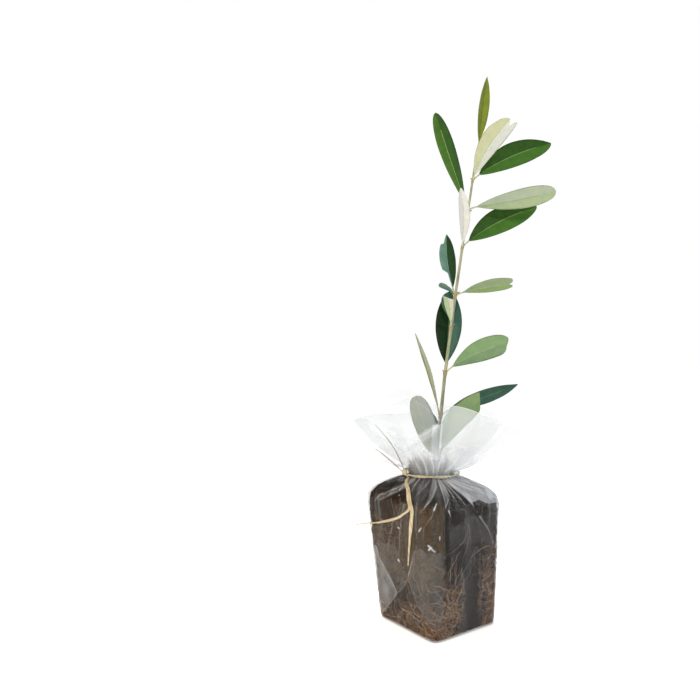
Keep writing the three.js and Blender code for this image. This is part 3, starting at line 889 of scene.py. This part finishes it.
# Leaves from the lowest joint up: joint, its height on the stem, name, the [heading, rise] in degrees to
# which a leaf points, its [length, width], where its upper side faces, how blunt it is, the colours of its
# two sides, and what is not as in plainLeaf
plainLeaf = {
    "bow": 0,  # how far its middle is to one side
    "fold": 10,  # degrees up from flat
    "foot": 0.85,  # the higher, the slimmer its foot
    "stalk": 5,  # its length
    "cut": 1,  # the share of the blade that is left, and how its end slants, is rounded off or notched
    "slant": 0,
    "rounded": 0,
    "notch": 0,
    "notchAt": 0,
    "bite": 0,  # the shares of the blade up to which, and from which, one half is torn
    "nick": 1,
}
leaves = [
    (1, 115, "left", (167, 71), (47, 15.5), (50, 15), 0.4, "lower", "film", {"foot": 0.5, "stalk": 1.5}),
    (1, 115, "small", (76, 78), (32, 9), (-126, 10), 0.7, "teal", "grey", {}),
    (1, 115, "right", (-63, 55), (51, 18), (54, 30), 0.6, "lower", "fresh",
     {"bow": 4.5, "cut": 0.95, "slant": 5}),
    (2, 145, "left", (119, 73), (61, 11), (-24, 10), 0.9, "olive", "strip", {"fold": 4}),
    (2, 145, "right", (-18, 19), (65, 13), (-126, 50), 0.9, "blue", "grey", {"bow": 2}),
    (3, 175, "back", (36, 71), (64, 19), (-126, 10), 0.8, "deep", "grey", {}),
    (3, 175, "right", (-57, 27), (48, 17.5), (54, 20), 0.42, "lower", "sage",
     {"bow": 1.5, "cut": 0.99, "slant": 2.6, "rounded": 0.8}),
    (4, 208, "front", (-140, 44), (27, 6.8), (45, 40), 0.8, "lower", "pale",
     {"cut": 0.5, "slant": 2, "stalk": 1.5}),
    (4, 208, "back", (52, 57), (31, 12), (-126, 30), 0.7, "teal", "grey", {}),
    (5, 229, "left", (69, 73), (49, 13), (-106, 10), 0.8, "tealDark", "grey",
     {"bow": -3, "bite": 0.3, "nick": 0.78}),
    (5, 229, "right", (-51, 13), (40, 11.5), (54, 40), 0.6, "lower", "streaky",
     {"cut": 0.9, "notch": 3, "slant": 1, "notchAt": -0.1, "rounded": 0.6}),
    (5, 229, "small", (167, 35), (15, 4.5), (-126, 30), 0.3, "greyTeal", "grey", {"bow": 0.6, "stalk": 0.5}),
    (6, 264, "front", (-137, 51), (46, 9), (5, 30), 0.7, "lower", "white", {"bow": -1.5, "stalk": 1.5}),
    (6, 264, "right", (-22, 29), (66, 20), (-126, 25), 0.8, "green", "grey", {"bow": -2}),
    (7, 290, "left", (107, 71), (79, 12), (-126, 10), 0.55, "bright", "grey", {"bow": -1}),
    (7, 290, "right", (-50, 10), (60, 14.5), (54, 25), 0.45, "lower", "silver", {"bow": -1.5}),
    (8, 311, "front", (-88, 47), (48, 16), (60, 30), 0.6, "lower", "cream",
     {"bow": 2.4, "cut": 0.84, "notch": 5, "slant": 0.4, "notchAt": -0.35, "rounded": 3.6, "stalk": 2}),
    (8, 311, "right", (-19, 27), (71, 20), (-126, 20), 0.75, "green", "grey", {"bow": -2.2}),
    (9, 332, "tip", (-9, 81.5), (55, 8), (-110, 5), 0.9, "lime", "grey", {"bow": -0.3, "fold": 20}),
]
# A small leaf that the solids don't have: all of the above but joint and name
bract = (230.5, (150, 42), (9, 2.8), (-126, 40), 0.7, "deep", "deep", {})
joints = sorted({leaf[1] for leaf in leaves})

# Colours of the two halves of a side, the one towards minus across first, and of its midrib. Where the two
# halves differ, the difference is painted light and shade, as each half of a folded leaf catches the light
# in its own way
tints = {
    "lower": ("#2f5640", "#2f5640", "#64805f"),
    "teal": ("#3c6458", "#2c4e42", "#5f7f70"),
    "tealDark": ("#62887a", "#224022", "#7a9888"),
    "greyTeal": ("#55756a", "#5f7f6c", "#86a08a"),
    "olive": ("#6f7f4f", "#7f8c60", "#a3ab80"),
    "blue": ("#375a4c", "#395a50", "#5c786c"),
    # deep: its dark half is a painted shadow, and its teal half a painted sheen
    "deep": ("#0f2c10", "#40665a", "#2f5030"),
    "green": ("#2c5018", "#3e6a26", "#6f8f58"),
    "bright": ("#426a26", "#2e5420", "#86a870"),
    "lime": ("#6c7b32", "#70811f", "#7d9040"),
    "grey": ("#a0ac94", "#a0ac94", "#b4bca4"),
    "film": ("#a2aba2", "#9ea89e", "#aeb6ac"),
    "fresh": ("#7b9467", "#7b9467", "#90a67c"),
    "strip": ("#989f8a", "#7c8662", "#a0a68c"),
    "sage": ("#75906a", "#76946a", "#8aa47c"),
    "pale": ("#c2c6b0", "#aab890", "#9a8a62"),
    "streaky": ("#849b66", "#829572", "#9fb084"),
    "white": ("#cbcec8", "#bcc0c2", "#b2b0a8"),
    "silver": ("#9aab86", "#9aa892", "#84966e"),
    "cream": ("#cbcfc2", "#b5ba98", "#a6b080"),
}
bladeForm = {
    "thickness": 0.45,
    "arch": 0.02,
    "spread": 0.12,  # the share of the blade on which it opens from its stalk
    "bitten": 0.25,  # what is left of a torn half at its foot and at its end
    "nicked": 0.5,
    "notchWidth": 0.4,
    "endStart": 0.7,  # where the torn end starts to bend the blade's rows
    "rows": 72,
    "halfColumns": 9,
    "ribWidth": 0.35,
    "ribSunk": 0.14,  # how deep the midrib lies in the upper side
    "ribRaised": 0.28,  # how far it stands out of the underside
    "wave": 0.35,
    "rolled": 0.25,  # how far the edges turn down
    "biteEdge": 0.06,  # the shares of the blade over which a torn half starts and ends
    "nickEdge": 0.03,
}
stalkForm = {"radius": 0.55, "crook": 2}


def leafRings(z, points, size, faces, blunt, form, seed):
    length, width = size
    bite, nick, foot = form["bite"], form["nick"], form["foot"]

    def outline(at):
        return at**foot * max(1 - at, 0) ** blunt

    fold = math.tan(math.radians(form["fold"]))
    along = direction(*points)
    base = stemPoint(z) + direction(points[0]) * (stemRadius(z) - 0.2)
    upper = direction(*faces)
    upper = (upper - along * upper.dot(along)).normalized()
    side = along.cross(upper)
    stalk = form["stalk"] / max(length, 15)
    half, widest = bladeForm["halfColumns"], outline(foot / (foot + blunt))
    places = [math.copysign((abs(k) / half) ** 1.6, k) for k in range(-half, half + 1)]
    around = [(across, 1) for across in places] + [(across, -1) for across in reversed(places[1:-1])]
    rings = []
    for row in range(bladeForm["rows"] + 1):
        share = row / bladeForm["rows"]
        onBlade = clamp01((share - stalk) / (1 - stalk))
        spread = smooth(onBlade / bladeForm["spread"])
        ribHeight = spread * (1 - 0.8 * onBlade)
        nearEnd = smooth((onBlade - bladeForm["endStart"]) / (1 - bladeForm["endStart"]))
        left = lerp(1, bladeForm["bitten"], smooth((bite - onBlade) / bladeForm["biteEdge"])) if bite else 1
        torn = lerp(1, bladeForm["nicked"], smooth((onBlade - nick) / bladeForm["nickEdge"]))
        left *= torn * (1 if nick < 1 else left)
        arch = math.sin(math.pi * share)
        ring = []
        for across, face in around:
            blade = width / 2 * (outline(onBlade * form["cut"]) / widest) * (left if across < 0 else 1)
            halfWidth = max(stalkForm["radius"] * (1 - spread), blade, 0.05)
            thick = lerp(stalkForm["radius"], bladeForm["thickness"] / 2, spread)
            circle = math.sqrt(1 - across * across)
            over = face * thick * lerp(circle, math.sqrt(circle), spread)
            x = halfWidth * across
            nearRib = math.exp(-((x / bladeForm["ribWidth"]) ** 2)) * ribHeight
            over -= bladeForm["ribSunk" if face > 0 else "ribRaised"] * nearRib
            nearNotch = max(0, 1 - abs(across - form["notchAt"]) / bladeForm["notchWidth"])
            end = form["slant"] * across - form["notch"] * nearNotch - form["rounded"] * max(0, across) ** 2
            uneven = noise.noise(Vector((share * 5, across, seed)))
            wave = bladeForm["wave"] * across * across * spread * uneven
            rolled = -bladeForm["rolled"] * abs(across) ** 5 * spread
            point = base + along * (length * share + end * nearEnd)
            point += side * (x + form["bow"] * arch)
            point += upper * (over + fold * abs(x) + bladeForm["arch"] * length * arch + wave + rolled)
            point += Vector((0, 0, stalkForm["crook"] * math.sin(math.pi * share**0.4)))
            ring.append(point)
        rings.append(ring)
    return rings, around, stalk


def leafMaterial(name, colour, waxy):
    # Olive leaf, as it has grown: the upper side has a smooth waxy skin with a soft dull shine, and the
    # underside a felt of silvery scales, which looks pale and dry. The scales are too fine to show, and the
    # mottling stands for them, drawn as coarse as needed
    base = Vector(linear(colour)[:3])

    def shade(*shares):
        values = [clamp01(v * share) for v, share in zip(base, shares)]
        codes = [v * 12.92 if v <= 0.0031308 else 1.055 * v ** (1 / 2.4) - 0.055 for v in values]
        return "#" + "".join(f"{round(255 * v):02x}" for v in codes)

    return mottled(
        name,
        shade(0.76, 0.84, 0.92) if waxy else shade(0.9, 0.93, 0.95),
        shade(1.26, 1.16, 0.96) if waxy else shade(1.1, 1.07, 1.03),
        size=5.0,
        roughness=0.48 if waxy else 0.75,
        bump=0.14 if waxy else 0.06,
        specular=0.16 if waxy else 0.12,
    )


leafMaterials = {}


def tintMaterials(tint, waxy):
    if (tint, waxy) not in leafMaterials:
        skin = "Upper" if waxy else "Under"
        leafMaterials[tint, waxy] = [
            leafMaterial(f"leaf{skin}{tint[0].upper()}{tint[1:]}{part}", colour, waxy)
            for part, colour in zip(("Left", "Right", "Rib"), tints[tint])
        ]
    return leafMaterials[tint, waxy]


def makeLeaf(name, z, points, size, faces, blunt, upper, underside, special, seed, replaces):
    rings, around, stalk = leafRings(z, points, size, faces, blunt, {**plainLeaf, **special}, seed)
    under = 3  # the number of the first material of the underside

    def kindOf(row, column):
        (first, face), (second, otherFace) = around[column], around[(column + 1) % len(around)]
        if row / bladeForm["rows"] < stalk:
            return 6
        below = under if face < 0 or otherFace < 0 else 0
        middle = (first + second) / 2
        if abs(middle) < 0.02 and stalk + 0.04 < row / bladeForm["rows"] < 0.8:
            return below + 2
        return below + (1 if middle > 0 else 0)

    shape = Shape()
    shape.rings(rings, kindOf, capKind=under)
    materials = tintMaterials(upper, True) + tintMaterials(underside, False) + [stalkSkin]
    shape.piece(name, materials, replaces)


def makeLeaves():
    for joint, z, side, *leaf in leaves:
        seed = (joint - 1) * 7 + len(side)
        makeLeaf(f"leaf{joint}{side.capitalize()}", z, *leaf, seed, [f"leaf_{joint}_{side}"])
    makeLeaf("leafBract", *bract, 3, ())


def makeStem():
    rings = []
    bottom = stemFoot - 1.5
    count, bend, depth = stemForm["furrows"]
    (wartSize, wartHeight), (lumpSize, lumpHeight) = stemForm["warts"], stemForm["lumps"]
    for row in range(stemForm["rows"] + 1):
        z = lerp(bottom, stemForm["tipHeight"], row / stemForm["rows"])
        radius = stemForm["barkInside"] * stemRadius(max(z, stemFoot))
        for joint in joints[1:]:
            radius += stemForm["nodeSwelling"] * math.exp(-(((z - joint) / 1.8) ** 2)) * (1.3 - alongStem(z))
        middle = stemPoint(z)
        ring = []
        for turn in range(stemForm["sides"]):
            angle = 360 * turn / stemForm["sides"]
            furrow = depth * math.sin(math.radians(count * angle) + 3 * rough(Vector((0, 0, z)), bend, 8))
            wart = wartHeight * max(0, rough(middle + direction(angle) * radius * 2, wartSize, 9) - 0.3)
            lump = lumpHeight * rough(middle + direction(angle) * radius, lumpSize, 10)
            ring.append(middle + direction(angle) * (radius + furrow + wart + lump))
        rings.append(ring)

    def kindOf(row, column):
        z = lerp(bottom, stemForm["tipHeight"], row / stemForm["rows"])
        ragged = 0.8 * rough(Vector((math.cos(column), math.sin(column), z)), 1.5, 13)
        return 1 if min(abs(z - joint) for joint in joints) < stemForm["nodeHalf"] + ragged else 0

    shape = Shape()
    shape.rings(rings, kindOf)
    for z, heading, rise, length, radius in buds:
        aim = direction(heading, rise)
        start = stemPoint(z) + direction(heading) * (stemRadius(z) - 0.4)
        path = [start + aim * length * k / 6 for k in range(7)]
        sweep(shape, path, tapering(radius, *stemForm["budTaper"]), 12, 1)
    shape.piece("stem", [youngBark, nodeBark], ["trunk"])


# Raffia: a band round the neck, a knot, two tails that hang over the film and two thin ends up the collar.
# Places are [angle, height, lift off the film] over the wrap and [angle, share of the way to the rim, out]
# up the collar, with the width and thickness of each strand
raffiaForm = {
    "bandRadius": 20.1,
    "knotHeading": 172,
    "knotHeight": tieHeight + 2,
    "pressed": 0.25,  # how deep a strand lies in the film's finest folds
    "bandStrand": (0.95, 0.7),  # width and thickness
    "bandTwists": 4,
    "bandWave": (0.3, 0.4),  # how far its two strands wind in and out, and up and down
    "knotStrand": (1.3, 0.8),
    "knotLoops": [(40, 1.9), (-35, 2.1), (80, 1.7), (10, 1.5)],  # tilt and half length
}
hang = [(176, 103, 0.6), (183, 101, 0.3), (196, 97.5, 0), (203.5, 93, 0), (207, 86, 0)]
tailStrands = [  # width, thickness, how far to the right of its places a strand hangs, and the places
    ("raffiaTailLong", "tie_tail_long", [
        (2.3, 0.8, 0.5, hang + [(205.5, 75, 0), (200.5, 60, 0), (196, 47, 0)]),
        (1.4, 0.7, 0, [(angle, z, lift + 0.5) for angle, z, lift in hang]),
    ]),
    ("raffiaTailSide", "tie_tail_side", [
        (1.6, 0.7, -1.0, hang[:4] + [
            (206.5, 87.5, 0.3), (200, 84, 0.2), (194, 81.5, 0), (186, 78.5, 0), (176, 76, 0), (163, 73, 0.1),
            (150, 70, 0.8), (141, 68, 3.2), (138, 66, 10.5),
        ]),
    ]),
]
endStrands = [
    ("raffiaEndUpper", "tie_end_upper",
     (0.8, 0.45, [(171, 0.02, 2.6), (174, 0.28, 1.6), (172.5, 0.49, 1.6), (170, 0.74, 2.6)])),
    ("raffiaEndLower", "tie_end_lower",
     (0.8, 0.45, [(168, 0.02, 2.8), (161, 0.21, 1.6), (159.5, 0.32, 1.6), (156.5, 0.47, 2.6)])),
]


def raffiaStrand(shape, path, width, thickness, seed, outward=None):
    # a strip torn from a leaf: grooved along its length, uneven in width and thinner at its ends
    dice = random.Random(seed)
    phases = [dice.uniform(0, 2 * math.pi) for _ in range(4)]

    def section(share, turn):
        taper = (1 - 0.5 * smooth((share - 0.6) / 0.4)) * (1 - 0.3 * smooth((0.06 - share) / 0.06))
        groove = 1 + 0.10 * math.sin(5 * turn + phases[0])
        groove += 0.07 * math.sin(9 * turn + phases[1] + 4 * share)
        pinch = 1 + 0.12 * math.sin(14 * share + phases[2]) + 0.08 * math.sin(37 * share + phases[3])
        across = width / 2 * taper * pinch * groove * math.cos(turn)
        return across, thickness / 2 * taper * groove * math.sin(turn)

    sweep(shape, path, section, 18, outward=outward)


def knotCentre():
    return fromAxis(raffiaForm["knotHeading"], raffiaForm["bandRadius"] + 2.0, raffiaForm["knotHeight"])


def overFilm(places, thickness, aside):  # a path from the knot that lies on the folds of the film
    track = curveThrough([Vector(place) for place in places], 12)
    resting = [max(filmOut(spot.x + turn, spot.y)[0] for turn in (-2, 0, 2)) for spot in track]
    path = []
    for k, spot in enumerate(track):
        near = resting[max(k - 4, 0) : k + 5]
        out = sum(near) / len(near) + thickness / 2 - raffiaForm["pressed"]
        hung = 1 - smooth((k - 48) / 10)
        point = onWrap(spot.x, min(spot.y, wrapTop), out + spot.z)
        path.append(point + direction(spot.x + 90) * aside * hung)
    leaving = knotCentre().lerp(path[0], 0.5) + direction(places[0][0]) * 0.4
    outward = [direction(places[0][0])] * 2 + [direction(spot.x) for spot in track]
    return [knotCentre(), leaving] + path, outward


def makeRaffia():
    for name, node, strands in tailStrands:
        shape = Shape()
        for number, (width, thickness, aside, places) in enumerate(strands):
            path, outward = overFilm(places, thickness, aside)
            raffiaStrand(shape, path, width, thickness, len(name) + number, outward)
        shape.piece(name, [raffia], [node])
    for name, node, (width, thickness, places) in endStrands:
        shape = Shape()
        path = curveThrough([onCollar(*place) for place in places], 10)
        outward = [direction(raffiaForm["knotHeading"])] * len(path)
        raffiaStrand(shape, path, width, thickness, len(node), outward)
        shape.piece(name, [thinRaffia], [node])
    band = Shape()
    steps = 180
    inAndOut, upAndDown = raffiaForm["bandWave"]
    for strand in range(2):
        path, outward = [], []
        for k in range(steps + 1):
            angle = 360 * k / steps
            turn = math.radians(raffiaForm["bandTwists"] * angle) + math.pi * strand
            sag = 0.4 * rough(fromAxis(angle, 20, 0), 11, 12)
            radius = raffiaForm["bandRadius"] + inAndOut * math.cos(turn)
            lift = Vector((0, 0, upAndDown * math.sin(turn) + sag))
            path.append(fromAxis(angle, radius, tieHeight) + lift)
            outward.append(direction(angle))
        raffiaStrand(band, path, *raffiaForm["bandStrand"], 21 + strand, outward)
    band.piece("raffiaBand", [paleRaffia], ["tie_band"])
    knot = Shape()
    heading = raffiaForm["knotHeading"]
    outward, sideways, up = direction(heading), direction(heading + 90), Vector((0, 0, 1))
    for number, (tilt, reach) in enumerate(raffiaForm["knotLoops"]):
        lean = (sideways * cosine(tilt) + up * sine(tilt)).normalized()
        across = lean.cross(outward)
        path = []
        for k in range(31):
            a = 2 * math.pi * k / 30
            loop = lean * reach * math.cos(a) + outward * (0.9 + 0.12 * number) * math.sin(a)
            path.append(knotCentre() + loop + across * 0.5 * math.sin(2 * a))
        raffiaStrand(knot, path, *raffiaForm["knotStrand"], 31 + number)
    knot.piece("raffiaKnot", [raffia], ["tie_knot"])


print("materials")
# Peat potting mix, held together by roots: light is lost between its crumbs, so it is dark and has no shine.
# It comes in lit and shaded copies, as painted light and shade: brown on the side towards the warm light, a
# darker brown at the foot of that side and, as painted shade, near the top of its left part, and nearly
# black as painted shade on the other sides and high up under the gathers
litSidePeat = mottled("litSidePeat", "#16100a", "#614c2b", 2.2, 0.95, 0.8, 0.1)
darkerPeat = mottled("darkerPeat", "#100b07", "#463521", 2.2, 0.95, 0.8, 0.1)
peatInPaintedShade = mottled("peatInPaintedShade", "#0b0a09", "#332c26", 2.2, 0.9, 0.8, 0.15)
# Fine olive roots, as they have grown: dull strands, rusty to pale, that are lighter than the peat
redRoot = mottled("rootRusty", "#523a20", "#94693a", 2, 0.8, 0.1, 0.2)
tanRoot = mottled("rootTan", "#66503f", "#9a7c66", 2, 0.8, 0.1, 0.2)
paleRoot = mottled("rootPale", "#8c7862", "#b8a590", 2, 0.8, 0.1, 0.2)
film = clearFilm("castPolypropyleneFilm", 0.4, 0.08)
collarFilm = clearFilm("gatheredPolypropyleneFilm", 0.15, 0.2)
# Young olive bark, as it has grown: smooth and grey green with a dull shine, and browner and duller at its
# joints. Its fine streaks run up the stem and are drawn coarser than they are, or they wouldn't show
youngBark = mottled("youngOliveBark", "#767b5e", "#b0b294", 2.2, 0.65, 0.15, 0.2, (1, 1, 0.25))
nodeBark = mottled("oliveBarkAtJoints", "#80765a", "#a69c7a", 1.5, 0.75, 0.2, 0.2)
stalkSkin = mottled("oliveLeafStalk", "#a3a57c", "#c4c6a4", 2, 0.6, 0.05, 0.2)
# Raffia, strips of palm leaf torn and dried: straw-coloured, with a silky sheen and streaks along it. Its
# fibres are too fine to show, and the streaks are drawn as coarse as needed. The band runs round the neck,
# where streaks up and down would cross it, so it is mottled without them
paleRaffia = mottled("paleRaffia", "#99906f", "#d8d0b2", 1.6, 0.6, 0.3, 0.5)
thinRaffia = mottled("driedRaffiaThin", "#73583f", "#a68c68", 1.2, 0.6, 0.2, 0.3, (1, 1, 0.15))
raffia = mottled("driedRaffia", "#a38f6b", "#e3d9b8", 1.2, 0.6, 0.25, 0.3, (1, 1, 0.15))

print("root ball and roots")
makeRootBall()
makeRoots()
print("stem and leaves")
makeStem()
makeLeaves()
print("film")
makeFilmWrap()
for layer in collarForm["layers"]:
    makeCollar(*layer)
print("raffia")
makeRaffia()

# Floor, light and camera
studio = {
    "floorHalf": 6,  # metres
    "lamps": [  # name, place in metres, power in watts, size and colour
        ("keyLight", (-1.35, -0.1, 1.0), 11.0, 0.5, "#ffe0bc"),
        ("coolLight", (0.6, -1.2, 0.8), 1.2, 0.4, "#b8d0ff"),
        ("backLight", (0.5, 1.1, 1.1), 5.0, 0.5, "#ffffff"),
        ("sparkle", (-0.35, -0.8, 0.7), 1.4, 0.05, "#ffffff"),
    ],
    "backdrop": 1.0,
    "roomLight": 0.62,
    "roomInGloss": 0.3,  # the room is darker than its white walls where the film mirrors it
    "floorGlow": 0.43,  # the floor is a light table
    "cameraPlace": (-0.332, -0.352, 0.195),
    "cameraTurn": (89.58, 0, -36),
    "lens": 677 / 700 * 36,  # mm on a 36 mm sensor
}


def paperFloor():
    # White paper on a light table: matt and evenly bright, so that only a faint shadow is left at the foot
    # of the ball. Its fibres are drawn much coarser than they are, or they wouldn't show
    material, tree, place = newMaterial("whitePaperFloor")
    fibres = addNode(tree, "TexNoise", {"Vector": place, "Scale": 1 / (2 * mm)})
    relief = addNode(tree, "Bump", {"Height": fibres, "Distance": 0.02 * mm})
    matt = {"Base Color": linear("#fbfbfb"), "Roughness": 0.9, "Specular IOR Level": 0.1, "Normal": relief}
    glow = {"Emission Color": (1, 1, 1, 1), "Emission Strength": studio["floorGlow"]}
    paper = addNode(tree, "BsdfPrincipled", {**matt, **glow})
    addNode(tree, "OutputMaterial", {"Surface": paper})
    return material


floorMesh = bpy.data.meshes.new("floor")
reach = studio["floorHalf"]
corners = [(-reach, -reach, 0), (reach, -reach, 0), (reach, reach, 0), (-reach, reach, 0)]
floorMesh.from_pydata(corners, [], [(0, 1, 2, 3)])
floorMesh.materials.append(paperFloor())
floor = addObject("floor", floorMesh)

middle = Vector((0, 0, 0.15))
for name, place, power, size, colour in studio["lamps"]:
    lamp = bpy.data.lights.new(name, "AREA")
    lamp.energy = power
    lamp.size = size
    lamp.color = linear(colour)[:3]
    light = addObject(name, lamp)
    light.location = place
    light.rotation_euler = (middle - Vector(place)).to_track_quat("-Z", "Y").to_euler()

world = bpy.data.worlds.new("whiteStudio")
world.use_nodes = True
tree = world.node_tree
rays = addNode(tree, "LightPath", {}).outputs
white = (1, 1, 1, 1)
backdrop = tree.nodes["Background"]
backdrop.inputs["Color"].default_value = white
backdrop.inputs["Strength"].default_value = studio["backdrop"]
room = addNode(tree, "Background", {"Color": white, "Strength": studio["roomLight"]})
mirrored = addNode(tree, "Background", {"Color": white, "Strength": studio["roomInGloss"]})
unseen = addNode(tree, "MixShader", {0: rays["Is Glossy Ray"], 1: room, 2: mirrored})
whole = addNode(tree, "MixShader", {0: rays["Is Camera Ray"], 1: unseen, 2: backdrop})
tree.links.new(whole.outputs["Shader"], tree.nodes["World Output"].inputs["Surface"])
bpy.context.scene.world = world
bpy.context.scene.view_settings.view_transform = "Standard"

cameraData = bpy.data.cameras.new("camera")
cameraData.lens = studio["lens"]
cameraData.sensor_width = 36
camera = addObject("camera", cameraData)
camera.location = studio["cameraPlace"]
camera.rotation_euler = [math.radians(turn) for turn in studio["cameraTurn"]]
bpy.context.scene.camera = camera


print("scene ready")
